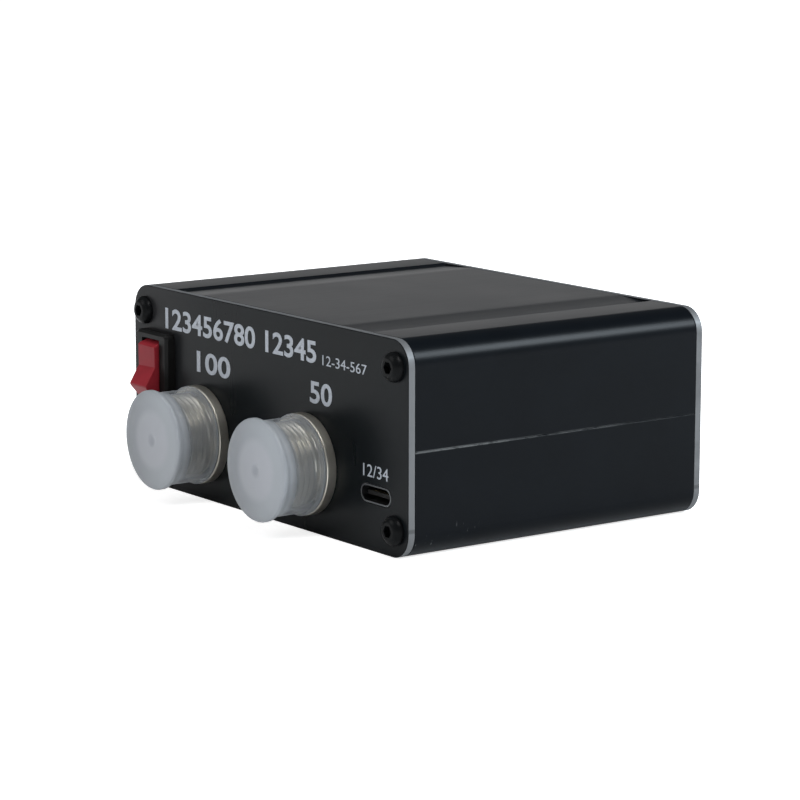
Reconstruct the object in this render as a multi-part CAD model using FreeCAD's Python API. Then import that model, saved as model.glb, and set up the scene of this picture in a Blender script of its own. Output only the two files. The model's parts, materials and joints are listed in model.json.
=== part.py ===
import FreeCAD, Part
import math
import os

# In-line meter for radio transmitters: a split extruded case with two end plates, two coaxial
# sockets with dust caps, a rocker switch, a charging port and the boards, coupler and cell inside.
# Millimetres.  Origin at the centre of the case's underside, +X to the right of the socket
# panel, -Y out of the socket panel, +Z up.

V = FreeCAD.Vector

# ---- case ------------------------------------------------------------------------------
CASE_W = 88.0            # across X
CASE_H = 38.0            # along Z
BODY_L = 63.0            # extrusion length along Y
PLATE_T = 1.5            # end plate thickness
CORNER_R = 4.5
WALL_SIDE = 1.6
WALL_FLAT = 2.0          # top and bottom walls
INNER_R = 3.0
SEAM_Z = 18.8            # where the two half shells meet
SEAM_BEVEL = 0.15
TONGUE_T = 0.75
TONGUE_H = 1.2
FLUTE_START = 21.0       # the flat field ends here, each side of the centre
FLUTE_ROLL = 3.5         # width of the tangent roll-off
FLUTE_SLOPE = 3.0        # degrees
FLUTE_FOOT = 30.7
LEDGE_START = 31.6       # the raised ledge beside the flute
BODY_Y = BODY_L / 2
FACE_Y = -(BODY_Y + PLATE_T)       # outer face of the socket panel
SCREW_X = 40.1
SCREW_Z = 4.8            # from the top and bottom faces
BOSS_R = 3.1
M3_R = 1.5
SHANK_R = 1.45
PLATE_HOLE_R = 1.65
EDGE_BREAK = 0.1

# ---- sockets and their caps --------------------------------------------------------------
ANTENNA_X = -20.6
TRANSMITTER_X = 13.8
SOCKET_Z = 12.3
THREAD_R = 7.94          # 5/8 inch thread, 24 turns per inch
THREAD_ROOT_R = 7.3
THREAD_PITCH = 25.4 / 24
FLANGE_R = 9.15
FLANGE_T = 2.0
RIM_OUT = 9.4            # socket mouth, measured out from the panel face
SOCKET_TAIL = 5.4        # socket body, measured in from the panel face
SOCKET_BORE_R = 6.1
INSULATOR_NECK_R = 5.2
INSULATOR_FACE = 2.4     # out from the panel face
INSULATOR_TAIL = 6.0
CONTACT_R = 2.7
CONTACT_BORE_R = 2.0
CONTACT_MOUTH = 5.2      # out from the panel face
CONTACT_BORE_L = 5.0
CONTACT_TAIL_R = 1.4
CONTACT_TAIL = 12.4
NUT_ACROSS = 19.0
NUT_T = 2.5
WASHER_T = 0.6
WASHER_R = 10.0
CAP_BORE_R = 8.0
CAP_R = 8.6
CAP_LIP_R = 9.1
CAP_LIP_L = 0.35         # straight stretch of the flared lip
CAP_FLARE_L = 0.55
CAP_RIM_R = 9.24
CAP_RIM_T = 1.0
CAP_END = 11.0           # cap face, out from the panel face
CAP_WALL_END = 1.5

# ---- rocker switch -----------------------------------------------------------------------
SWITCH_X = -35.25
SWITCH_Z = 22.4
BEZEL_W = 10.9
BEZEL_H = 14.8
BEZEL_T = 2.0
HOUSING_W = 8.4
HOUSING_H = 13.2
HOUSING_L = 11.0         # behind the panel face
POCKET_W = 6.1
POCKET_H = 12.2
POCKET_FLOOR = 9.5
ROCKER_W = 5.8
ROCKER_PIVOT = 0.5       # behind the panel face
ROCKER_REST = 15.0       # degrees, upper end pressed in
ROCKER_PIN_R = 0.9
ROCKER_PIN_L = 0.4       # at each side of the rocker
PIN_CLEAR = 0.05
PLUNGER_R = 0.8
PLUNGER_REACH = 5.2      # from the pivot
LEVER_FRONT = 5.85       # behind the panel face
LEVER_T = 0.5
LEVER_HALF = 4.4
LEVER_W = 3.0
LEVER_REST = 8.0         # degrees
BLADE_W = 3.2
BLADE_T = 0.8
BLADE_END = 18.0         # behind the panel face
LOWER_BLADE_DROP = 4.0

# ---- charging port -----------------------------------------------------------------------
PORT_X = 34.55
PORT_Z = 10.1
PORT_W = 8.94
PORT_H = 3.26
PORT_WALL = 0.3
PORT_L = 7.4
TONGUE_W = 6.7

# ---- boards ------------------------------------------------------------------------------
BOARD_BOTTOM = 9.3
BOARD_T = 1.6
BOARD_TOP = BOARD_BOTTOM + BOARD_T
BOARD_HALF_W = 42.1
BOARD_Y0 = -26.4
BOARD_Y1 = 26.0
BOARD_NOSE_Y = -31.2
BOARD_NOSE_X = 27.0
RIB_REACH = 2.0
RIB_T = 1.0
BOARD_SLACK = 0.1

# ---- coupler -----------------------------------------------------------------------------
LINK_Z = 18.3
LINK_R = 0.8
LINK_BEND = 2.2
LINE_LINK_Y = -15.0
LINE_CORE_X = -9.0
SENSE_LINK_Y = -1.5
SENSE_LINK_X0 = -10.0
SENSE_LINK_X1 = 10.0
CORE_R = 6.35
CORE_BORE_R = 3.85
CORE_T = 4.83
WIRE_R = 0.3
TURNS = 14
WOUND_ARC = 300.0        # degrees of the core that carry wire

# ---- cell --------------------------------------------------------------------------------
CELL_W = 50.0
CELL_D = 34.0
CELL_T = 5.2
CELL_Y = 5.0
PAD_T = 0.4
LEAD_R = 0.6
LEAD_BEND = 1.4
LEAD_PITCH = 2.0
LEAD_SLOT_Y = 24.2
PLUG_H = 4.2

# ---- display behind the far plate ---------------------------------------------------------
WINDOW_W = 40.0
WINDOW_H = 22.0
DISPLAY_Z = 20.5
PANE_T = 1.0
GASKET_T = 0.5
PANEL_T = 2.2
DISPLAY_BOARD_T = 1.2
PIN_PITCH = 2.54
PIN_COUNT = 8
PIN_SIDE = 0.64


# ---- shape helpers -----------------------------------------------------------------------
def box(x0, x1, y0, y1, z0, z1):
    return Part.makeBox(x1 - x0, y1 - y0, z1 - z0, V(x0, y0, z0))


def block(x, y, z0, w, d, h):
    """A box centred on x, y that stands on z0."""
    return box(x - w / 2, x + w / 2, y - d / 2, y + d / 2, z0, z0 + h)


def cylinder(x, z, r, y0, y1):
    """A cylinder along Y."""
    return Part.makeCylinder(r, y1 - y0, V(x, y0, z), V(0, 1, 0))


def rounded_wire(x, z, w, h, r, y):
    """A rounded rectangle in the plane at y, centred on x, z."""
    edges = []
    for sx, sz, a0 in ((1, 1, 0), (-1, 1, 90), (-1, -1, 180), (1, -1, 270)):
        cx = x + sx * (w / 2 - r)
        cz = z + sz * (h / 2 - r)
        p0, pm, p1 = (
            V(cx + r * math.cos(math.radians(a)), y, cz + r * math.sin(math.radians(a)))
            for a in (a0, a0 + 45, a0 + 90)
        )
        if edges and edges[-1].Vertexes[-1].Point.distanceToPoint(p0) > 1e-6:
            edges.append(Part.makeLine(edges[-1].Vertexes[-1].Point, p0))
        edges.append(Part.Arc(p0, pm, p1).toShape())
    last, first = edges[-1].Vertexes[-1].Point, edges[0].Vertexes[0].Point
    if last.distanceToPoint(first) > 1e-6:
        edges.append(Part.makeLine(last, first))
    return Part.Wire(edges)


def rounded_prism(x, z, w, h, r, y0, y1):
    return Part.Face(rounded_wire(x, z, w, h, r, y0)).extrude(V(0, y1 - y0, 0))


def revolve(x, z, profile):
    """Turns a closed outline of (radius, y) points about the line along Y through x, z."""
    points = [V(x + r, y, z) for r, y in profile]
    face = Part.Face(Part.makePolygon(points + points[:1]))
    return face.revolve(V(x, 0, z), V(0, 1, 0), 360)


def prism_x(outline, x0, x1):
    """Extrudes a closed outline of (y, z) points along X."""
    points = [V(x0, y, z) for y, z in outline]
    return Part.Face(Part.makePolygon(points + points[:1])).extrude(V(x1 - x0, 0, 0))


def rod(points, radius, bend):
    """A round rod along straight runs joined by tangent arcs."""
    points = [V(*p) for p in points]
    edges = []
    start = points[0]
    for before, corner, after in zip(points, points[1:], points[2:]):
        into = (corner - before).normalize()
        out = (after - corner).normalize()
        turn = into.getAngle(out)
        setback = bend * math.tan(turn / 2)
        p0 = corner - into * setback
        p1 = corner + out * setback
        inward = (out - into).normalize()
        middle = corner + inward * (bend / math.cos(turn / 2) - bend)
        edges.append(Part.makeLine(start, p0))
        edges.append(Part.Arc(p0, middle, p1).toShape())
        start = p1
    edges.append(Part.makeLine(start, points[-1]))
    path = Part.Wire(edges)
    profile = Part.Wire(Part.makeCircle(radius, points[0], points[1] - points[0]))
    return path.makePipeShell([profile], True, False)


def group(shapes):
    """Several separate solids in one node."""
    return Part.makeCompound([solid for shape in shapes for solid in shape.Solids])


def one(shape):
    """The single solid of a shape."""
    shape = shape.removeSplitter()
    assert len(shape.Solids) == 1, len(shape.Solids)
    return shape.Solids[0]


def mirror_x(shape):
    return shape.mirror(V(0, 0, 0), V(1, 0, 0))


def out(distance):
    """Y at a distance out of the socket panel."""
    return FACE_Y - distance


def behind(distance):
    """Y at a distance behind the socket panel's face."""
    return FACE_Y + distance


# ---- case ------------------------------------------------------------------------------
def flute_cutter():
    """The shallow flute between the flat field and the ledge, at the top right."""
    roll_r = FLUTE_ROLL / math.sin(math.radians(FLUTE_SLOPE))

    def roll(angle):
        a = math.radians(angle)
        return V(FLUTE_START + roll_r * math.sin(a), -BODY_Y, CASE_H - roll_r * (1 - math.cos(a)))

    roll_end = roll(FLUTE_SLOPE)
    slope = math.tan(math.radians(FLUTE_SLOPE))
    foot = V(FLUTE_FOOT, -BODY_Y, roll_end.z - slope * (FLUTE_FOOT - roll_end.x))
    break_point = V(LEDGE_START - 0.25, -BODY_Y, CASE_H - 0.15)
    ledge = V(LEDGE_START, -BODY_Y, CASE_H)
    above = [V(LEDGE_START, -BODY_Y, CASE_H + 1), V(FLUTE_START, -BODY_Y, CASE_H + 1)]
    arc = Part.Arc(roll(0), roll(FLUTE_SLOPE / 2), roll_end).toShape()
    rest = Part.makePolygon([roll_end, foot, break_point, ledge] + above + [roll(0)])
    return Part.Face(Part.Wire([arc] + rest.Edges)).extrude(V(0, BODY_L, 0))


def case_section():
    """The full extrusion before it is split along the seam."""
    body = rounded_prism(0, CASE_H / 2, CASE_W, CASE_H, CORNER_R, -BODY_Y, BODY_Y)
    flute = flute_cutter()
    lower = flute.mirror(V(0, 0, CASE_H / 2), V(0, 0, 1))
    body = body.cut([flute, lower, mirror_x(flute), mirror_x(lower)])
    inner_w = CASE_W - 2 * WALL_SIDE
    hollow = rounded_prism(
        0, CASE_H / 2, inner_w, CASE_H - 2 * WALL_FLAT, INNER_R, -BODY_Y, BODY_Y
    )
    bosses = [cylinder(x, z, BOSS_R, -BODY_Y, BODY_Y) for x, z in screw_places()]
    body = body.cut(hollow).fuse([boss.common(hollow) for boss in bosses])
    return body.cut([cylinder(x, z, M3_R, -BODY_Y, BODY_Y) for x, z in screw_places()])


def screw_places():
    return [(sx * SCREW_X, z) for sx in (-1, 1) for z in (SCREW_Z, CASE_H - SCREW_Z)]


def board_ribs():
    """Two ribs on each side wall that hold the main board's edges."""
    ribs = []
    wall = CASE_W / 2 - WALL_SIDE
    for side in (-1, 1):
        for z0 in (BOARD_BOTTOM - BOARD_SLACK - RIB_T, BOARD_TOP + BOARD_SLACK):
            x0, x1 = sorted((side * (wall - RIB_REACH), side * (wall + WALL_SIDE / 2)))
            ribs.append(box(x0, x1, -BODY_Y, BODY_Y, z0, z0 + RIB_T))
    return ribs


def seam_bevels():
    """Small bevels on the outer edges of the seam."""
    edge = CASE_W / 2
    points = [
        V(edge - SEAM_BEVEL, -BODY_Y, SEAM_Z),
        V(edge + SEAM_BEVEL, -BODY_Y, SEAM_Z - 2 * SEAM_BEVEL),
        V(edge + SEAM_BEVEL, -BODY_Y, SEAM_Z + 2 * SEAM_BEVEL),
    ]
    right = Part.Face(Part.makePolygon(points + points[:1])).extrude(V(0, BODY_L, 0))
    return [right, mirror_x(right)]


def half_shells():
    body = case_section()
    wall = CASE_W / 2 - WALL_SIDE
    far = CASE_W
    below = box(-far, far, -far, far, -far, SEAM_Z)
    tongues, grooves = [], []
    for side in (-1, 1):
        x0, x1 = sorted((side * wall, side * (wall + TONGUE_T)))
        tongues.append(box(x0, x1, -BODY_Y, BODY_Y, SEAM_Z - 0.5, SEAM_Z + TONGUE_H))
        x0, x1 = sorted((side * (wall - 1), side * (wall + TONGUE_T + 0.05)))
        grooves.append(box(x0, x1, -BODY_Y, BODY_Y, SEAM_Z, SEAM_Z + TONGUE_H + 0.1))
    bevels = seam_bevels()
    bottom = body.common(below).fuse(tongues + board_ribs()).cut(bevels)
    top = body.cut([below] + grooves + bevels)
    return one(bottom), one(top)


def blank_plate(y0):
    """An end plate before its openings, with its outer and inner edges broken."""
    plate = rounded_prism(0, CASE_H / 2, CASE_W, CASE_H, CORNER_R, y0, y0 + PLATE_T)
    faces_across = [e for e in plate.Edges if abs(e.BoundBox.YMax - e.BoundBox.YMin) < 1e-6]
    plate = plate.makeChamfer(EDGE_BREAK, faces_across)
    return plate.cut([cylinder(x, z, PLATE_HOLE_R, y0, y0 + PLATE_T) for x, z in screw_places()])


def front_plate():
    y0, y1 = FACE_Y, -BODY_Y
    cutters = [cylinder(x, SOCKET_Z, THREAD_R + 0.06, y0, y1) for x in (ANTENNA_X, TRANSMITTER_X)]
    cutters.append(
        rounded_prism(SWITCH_X, SWITCH_Z, HOUSING_W + 0.1, HOUSING_H + 0.1, 0.4, y0, y1)
    )
    port_r = PORT_H / 2 + 0.1
    cutters.append(rounded_prism(PORT_X, PORT_Z, PORT_W + 0.26, 2 * port_r, port_r, y0, y1))
    return one(blank_plate(y0).cut(cutters))


def rear_plate():
    y0, y1 = BODY_Y, BODY_Y + PLATE_T
    window = rounded_prism(0, DISPLAY_Z, WINDOW_W, WINDOW_H, 1.0, y0, y1)
    return one(blank_plate(y0).cut(window))


def button_screw(x, z, facing):
    """An M3 button head screw; facing is -1 at the socket panel and +1 at the far plate."""
    head_r, head_h, crown_r, socket_across, socket_depth, length = 2.65, 1.6, 1.45, 2.0, 1.0, 8.0
    seat = facing * (BODY_Y + PLATE_T)
    rim = V(x + head_r, seat + facing * 0.35, z)
    crown = V(x + crown_r, seat + facing * head_h, z)
    dome = V(x + 2.27, seat + facing * 1.12, z)
    inner_end = seat - facing * length
    outline = Part.makePolygon([
        crown, V(x, seat + facing * head_h, z), V(x, inner_end, z),
        V(x + SHANK_R, inner_end, z), V(x + SHANK_R, seat, z), V(x + head_r, seat, z), rim,
    ])
    face = Part.Face(Part.Wire([Part.Arc(rim, dome, crown).toShape()] + outline.Edges))
    screw = face.revolve(V(x, 0, z), V(0, 1, 0), 360)
    radius = socket_across / math.sqrt(3)
    corners = [
        V(x + radius * math.cos(a), seat + facing * head_h, z + radius * math.sin(a))
        for a in (math.radians(60 * k) for k in range(6))
    ]
    recess = Part.Face(Part.makePolygon(corners + corners[:1]))
    return one(screw.cut(recess.extrude(V(0, -facing * socket_depth, 0))))


# ---- sockets and caps --------------------------------------------------------------------
def thread_points(start, end):
    """Outline points of the thread's ridges, from start out to end."""
    points = []
    y = start
    while y - THREAD_PITCH >= end - 1e-6:
        points.append((THREAD_ROOT_R, y))
        points.append((THREAD_ROOT_R, y - 0.15))
        points.append((THREAD_R, y - 0.15 - 0.35))
        points.append((THREAD_R, y - 0.15 - 0.50))
        y -= THREAD_PITCH
    points.append((THREAD_ROOT_R, y))
    return points


def socket_body(x):
    flange_y = out(FLANGE_T)
    rim_y = out(RIM_OUT)
    tail_y = behind(SOCKET_TAIL)
    neck_y = tail_y - 1.0
    ridges = thread_points(flange_y - 0.2, rim_y + 0.2)
    outline = (
        [(SOCKET_BORE_R, rim_y), (SOCKET_BORE_R, neck_y), (INSULATOR_NECK_R, neck_y)]
        + [(INSULATOR_NECK_R, tail_y), (THREAD_R, tail_y), (THREAD_R, FACE_Y)]
        + [(FLANGE_R - 0.15, FACE_Y), (FLANGE_R, FACE_Y - 0.15), (FLANGE_R, flange_y + 0.15)]
        + [(FLANGE_R - 0.15, flange_y)]
        + [(THREAD_ROOT_R, flange_y)] + ridges
        + [(THREAD_ROOT_R, rim_y)]
    )
    body = revolve(x, SOCKET_Z, outline)
    notches = []
    for angle in (45, 135, 225, 315):
        notch = box(x, x + 2 * THREAD_R, rim_y - 1, rim_y + 0.9, SOCKET_Z - 0.6, SOCKET_Z + 0.6)
        notch.rotate(V(x, 0, SOCKET_Z), V(0, 1, 0), angle)
        notches.append(notch)
    return one(body.cut(notches))


def insulator(x):
    tail_y = behind(SOCKET_TAIL)
    return one(revolve(x, SOCKET_Z, [
        (CONTACT_R, out(INSULATOR_FACE)), (SOCKET_BORE_R, out(INSULATOR_FACE)),
        (SOCKET_BORE_R, tail_y - 1.0), (INSULATOR_NECK_R, tail_y - 1.0),
        (INSULATOR_NECK_R, behind(INSULATOR_TAIL)), (CONTACT_R, behind(INSULATOR_TAIL)),
    ]))


def centre_contact(x):
    mouth = out(CONTACT_MOUTH)
    floor = mouth + CONTACT_BORE_L
    contact = revolve(x, SOCKET_Z, [
        (CONTACT_BORE_R, mouth), (CONTACT_R, mouth), (CONTACT_R, behind(INSULATOR_TAIL)),
        (CONTACT_TAIL_R, behind(INSULATOR_TAIL)), (CONTACT_TAIL_R, behind(CONTACT_TAIL)),
        (0, behind(CONTACT_TAIL)), (0, floor), (CONTACT_BORE_R, floor),
    ])
    slots = []
    for angle in (0, 90, 180, 270):
        slot = box(x, x + 2 * CONTACT_R, mouth - 1, mouth + 2.6, SOCKET_Z - 0.17, SOCKET_Z + 0.17)
        slot.rotate(V(x, 0, SOCKET_Z), V(0, 1, 0), angle)
        slots.append(slot)
    return one(contact.cut(slots))


def socket_nut(x):
    y0 = -BODY_Y + WASHER_T
    radius = NUT_ACROSS / math.sqrt(3)
    corners = [
        V(x + radius * math.cos(a), y0, SOCKET_Z + radius * math.sin(a))
        for a in (math.radians(60 * k) for k in range(6))
    ]
    nut = Part.Face(Part.makePolygon(corners + corners[:1])).extrude(V(0, NUT_T, 0))
    return one(nut.cut(cylinder(x, SOCKET_Z, THREAD_R + 0.03, y0, y0 + NUT_T)))


def lock_washer(x):
    """A flat washer with teeth round its edge."""
    y0 = -BODY_Y
    washer = cylinder(x, SOCKET_Z, WASHER_R, y0, y0 + WASHER_T)
    gaps = [cylinder(x, SOCKET_Z, THREAD_R + 0.06, y0, y0 + WASHER_T)]
    for k in range(16):
        gap = box(x + 9.0, x + 11, y0, y0 + WASHER_T, SOCKET_Z - 0.5, SOCKET_Z + 0.5)
        gap.rotate(V(x, 0, SOCKET_Z), V(0, 1, 0), 360 / 16 * k)
        gaps.append(gap)
    return one(washer.cut(gaps))


def dust_cap(x):
    """A push-on cap: a thin sleeve with a gripping rim and a dimple in its face."""
    mouth = out(FLANGE_T + 0.1)
    rim = out(CAP_END - CAP_RIM_T)
    face = out(CAP_END)
    floor = out(CAP_END - CAP_WALL_END)
    return one(revolve(x, SOCKET_Z, [
        (0, face + 0.35), (0.7, face + 0.35), (1.0, face), (CAP_RIM_R - 0.35, face),
        (CAP_RIM_R, face + 0.35), (CAP_RIM_R, rim - 0.25), (CAP_RIM_R - 0.25, rim),
        (CAP_R, rim), (CAP_R, mouth - CAP_LIP_L - CAP_FLARE_L),
        (CAP_LIP_R, mouth - CAP_LIP_L), (CAP_LIP_R, mouth),
        (CAP_BORE_R + 0.15, mouth), (CAP_BORE_R, mouth - 0.4), (CAP_BORE_R, floor),
        (0, floor),
    ]))


# ---- rocker switch -----------------------------------------------------------------------
def pivot_turn(shape, angle, y, z):
    """Turns a shape about the X line through y, z."""
    shape = shape.copy()
    shape.rotate(V(0, y, z), V(1, 0, 0), angle)
    return shape


def switch_housing():
    bezel = rounded_prism(
        SWITCH_X, SWITCH_Z, BEZEL_W, BEZEL_H, 1.0, out(BEZEL_T), FACE_Y
    )
    outer = [e for e in bezel.Edges if e.BoundBox.YMax < out(BEZEL_T) + 1e-6]
    bezel = bezel.makeChamfer(0.5, outer)
    body = rounded_prism(
        SWITCH_X, SWITCH_Z, HOUSING_W, HOUSING_H, 0.4, FACE_Y, behind(HOUSING_L)
    )
    latches = []
    for side in (-1, 1):
        z0 = SWITCH_Z + side * (HOUSING_H / 2 - 0.1)
        tip = SWITCH_Z + side * (HOUSING_H / 2 + 0.6)
        start = behind(PLATE_T + 0.05)
        outline = [(start, z0), (start, tip), (start + 0.5, tip), (start + 3.5, z0)]
        latches.append(prism_x(outline, SWITCH_X - 2, SWITCH_X + 2))
    pocket = rounded_prism(
        SWITCH_X, SWITCH_Z, POCKET_W, POCKET_H, 0.3, out(BEZEL_T), behind(POCKET_FLOOR)
    )
    reach = ROCKER_W / 2 + ROCKER_PIN_L + PIN_CLEAR
    pin_bore = Part.makeCylinder(
        ROCKER_PIN_R + PIN_CLEAR, 2 * reach,
        V(SWITCH_X - reach, behind(ROCKER_PIVOT), SWITCH_Z), V(1, 0, 0),
    )
    slots = [
        box(SWITCH_X - BLADE_W / 2, SWITCH_X + BLADE_W / 2, behind(POCKET_FLOOR),
            behind(HOUSING_L), z - BLADE_T / 2, z + BLADE_T / 2)
        for z in blade_heights()
    ]
    return one(body.fuse([bezel] + latches).cut([pocket, pin_bore] + slots))


def rocker_outline():
    """(out from pivot, along) points of the rocker's side view, before it is tilted."""
    upper = [(3.5, 0.0), (4.6, 3.75), (4.4, 4.1), (2.3, 5.55), (0.2, 5.55), (-1.0, 5.2)]
    upper += [(-1.6, 2.0), (-3.6, 1.4)]
    lower = [(n, -t) for n, t in reversed(upper[1:])]
    return upper + lower


def rocker():
    pivot_y = behind(ROCKER_PIVOT)
    outline = [(pivot_y - n, SWITCH_Z + t) for n, t in rocker_outline()]
    body = prism_x(outline, SWITCH_X - ROCKER_W / 2, SWITCH_X + ROCKER_W / 2)
    # The stem behind the rocker is narrower than its face.
    for side in (-1, 1):
        x0, x1 = sorted((SWITCH_X + side * 1.6, SWITCH_X + side * 5))
        body = body.cut(box(x0, x1, pivot_y + 1.6, pivot_y + 5, SWITCH_Z - 6, SWITCH_Z + 6))
    reach = ROCKER_W / 2 + ROCKER_PIN_L
    pin = Part.makeCylinder(
        ROCKER_PIN_R, 2 * reach, V(SWITCH_X - reach, pivot_y, SWITCH_Z), V(1, 0, 0)
    )
    bore = cylinder(SWITCH_X, SWITCH_Z, PLUNGER_R + PIN_CLEAR, pivot_y - 1.0, pivot_y + 4)
    body = one(body.fuse(pin).cut(bore))
    return pivot_turn(body, -ROCKER_REST, pivot_y, SWITCH_Z)


def plunger():
    """A round-ended pin that slides in the rocker's stem."""
    pivot_y = behind(ROCKER_PIVOT)
    end = pivot_y + PLUNGER_REACH - PLUNGER_R
    pin = cylinder(SWITCH_X, SWITCH_Z, PLUNGER_R, pivot_y + 1.8, end)
    pin = pin.fuse(Part.makeSphere(PLUNGER_R, V(SWITCH_X, end, SWITCH_Z)))
    return pivot_turn(one(pin), -ROCKER_REST, pivot_y, SWITCH_Z)


def plunger_spring():
    """A small coil spring between the rocker and the plunger, of six-sided wire."""
    pivot_y = behind(ROCKER_PIVOT)
    wire_r, coil_r, turns = 0.12, 0.6, 5
    length = 1.8 + 1.0 - 2 * wire_r
    helix = Part.makeHelix(length / turns, length, coil_r)
    corners = [
        V(coil_r + wire_r * math.cos(a), 0, wire_r * math.sin(a))
        for a in (math.radians(60 * k + 30) for k in range(6))
    ]
    section = Part.makePolygon(corners + corners[:1])
    coil = helix.makePipeShell([section], True, True)
    coil.rotate(V(0, 0, 0), V(1, 0, 0), -90)
    coil.translate(V(SWITCH_X, pivot_y - 1.0 + wire_r, SWITCH_Z))
    return pivot_turn(coil, -ROCKER_REST, pivot_y, SWITCH_Z)


def contact_lever():
    front = behind(LEVER_FRONT)
    strip = box(
        SWITCH_X - LEVER_W / 2, SWITCH_X + LEVER_W / 2, front, front + LEVER_T,
        SWITCH_Z - LEVER_HALF, SWITCH_Z + LEVER_HALF,
    )
    return pivot_turn(strip, LEVER_REST, front, SWITCH_Z)


def blade_heights():
    return [SWITCH_Z, SWITCH_Z - LOWER_BLADE_DROP]


def switch_blades():
    """The centre blade carries the lever, the lower one holds the fixed contact."""
    tips = [behind(LEVER_FRONT + 0.7), behind(LEVER_FRONT + 1.6)]
    blades = []
    for z, tip in zip(blade_heights(), tips):
        blade = box(
            SWITCH_X - BLADE_W / 2, SWITCH_X + BLADE_W / 2, tip, behind(BLADE_END),
            z - BLADE_T / 2, z + BLADE_T / 2,
        )
        hole = Part.makeCylinder(
            0.7, 2, V(SWITCH_X, behind(BLADE_END - 2), z - 1), V(0, 0, 1)
        )
        blades.append(one(blade.cut(hole)))
    pad = cylinder(SWITCH_X, blade_heights()[1], 0.9, tips[1] - 0.35, tips[1])
    blades[1] = one(blades[1].fuse(pad))
    return group(blades)


# ---- charging port -----------------------------------------------------------------------
def port_shell():
    y0, y1 = FACE_Y, FACE_Y + PORT_L
    shell = rounded_prism(PORT_X, PORT_Z, PORT_W, PORT_H, PORT_H / 2 - 0.01, y0, y1)
    in_w, in_h = PORT_W - 2 * PORT_WALL, PORT_H - 2 * PORT_WALL
    hollow = rounded_prism(PORT_X, PORT_Z, in_w, in_h, in_h / 2 - 0.01, y0, y1)
    shell = shell.cut(hollow)
    ears = []
    for side in (-1, 1):
        for y in (BOARD_NOSE_Y + 0.6, BOARD_NOSE_Y + 3.8):
            x0, x1 = sorted((PORT_X + side * 4.1, PORT_X + side * 5.7))
            ears.append(box(x0, x1, y, y + 1.3, BOARD_TOP, BOARD_TOP + 0.3))
    return one(shell.fuse(ears))


def port_tongue():
    """The insulating block at the back of the port, and the tongue that the plug goes over."""
    y_back = FACE_Y + PORT_L
    in_w, in_h = PORT_W - 2 * PORT_WALL, PORT_H - 2 * PORT_WALL
    base = rounded_prism(PORT_X, PORT_Z, in_w, in_h, in_h / 2 - 0.01, y_back - 2.0, y_back)
    tongue = rounded_prism(
        PORT_X, PORT_Z, TONGUE_W, 0.7, 0.2, FACE_Y + 0.8, y_back - 2.0
    )
    return one(base.fuse(tongue))


def port_contacts():
    """Twelve contact strips on each face of the tongue."""
    strips = []
    for k in range(12):
        x = PORT_X + (k - 5.5) * 0.5
        for z0 in (PORT_Z + 0.35, PORT_Z - 0.40):
            strips.append(box(x - 0.12, x + 0.12, FACE_Y + 1.2, FACE_Y + 5.2, z0, z0 + 0.05))
    return group(strips)


# ---- main board and what stands on it -------------------------------------------------------
def main_board():
    z0, z1 = BOARD_BOTTOM, BOARD_TOP
    board = box(-BOARD_HALF_W, BOARD_HALF_W, BOARD_Y0, BOARD_Y1, z0, z1)
    board = board.fuse(box(BOARD_NOSE_X, BOARD_HALF_W, BOARD_NOSE_Y, BOARD_Y0, z0, z1))
    half = PORT_W / 2 + 0.06
    cutters = [
        box(PORT_X - half, PORT_X + half, BOARD_NOSE_Y, FACE_Y + PORT_L + 0.06, z0, z1),
        box(lead_x() - 2.6, lead_x() + 2.6, LEAD_SLOT_Y - 1.0, LEAD_SLOT_Y + 1.0, z0, z1),
    ]
    for x in pin_places():
        cutters.append(Part.makeCylinder(0.5, BOARD_T, V(x, header_y(), z0)))
    return one(board.cut(cutters))


def lead_x():
    return 19.0


def pin_places():
    return [(k - (PIN_COUNT - 1) / 2) * PIN_PITCH for k in range(PIN_COUNT)]


def header_y():
    return BOARD_Y1 - 2.6


def line_link():
    """The rod that carries the signal from one socket's contact to the other's."""
    y0 = behind(CONTACT_TAIL)
    route = []
    for x, order in ((ANTENNA_X, 1), (TRANSMITTER_X, -1)):
        leg = [(x, y0, SOCKET_Z), (x, LINE_LINK_Y, SOCKET_Z), (x, LINE_LINK_Y, LINK_Z)]
        route += leg[::order]
    return one(rod(route, LINK_R, LINK_BEND))


def sense_link():
    """The second rod, soldered to the board at both ends."""
    y = SENSE_LINK_Y
    x0, x1 = SENSE_LINK_X0, SENSE_LINK_X1
    route = [(x0, y, BOARD_TOP), (x0, y, LINK_Z), (x1, y, LINK_Z), (x1, y, BOARD_TOP)]
    return one(rod(route, LINK_R, LINK_BEND))


def ring_core(x, y):
    """A ferrite ring round a rod that runs along X."""
    half, c = CORE_T / 2, 0.4
    outline = [
        (CORE_BORE_R, -half + c), (CORE_BORE_R + c, -half), (CORE_R - c, -half),
        (CORE_R, -half + c), (CORE_R, half - c), (CORE_R - c, half),
        (CORE_BORE_R + c, half), (CORE_BORE_R, half - c),
    ]
    points = [V(x + a, y, LINK_Z + r) for r, a in outline]
    face = Part.Face(Part.makePolygon(points + points[:1]))
    return one(face.revolve(V(0, y, LINK_Z), V(1, 0, 0), 360))


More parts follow.
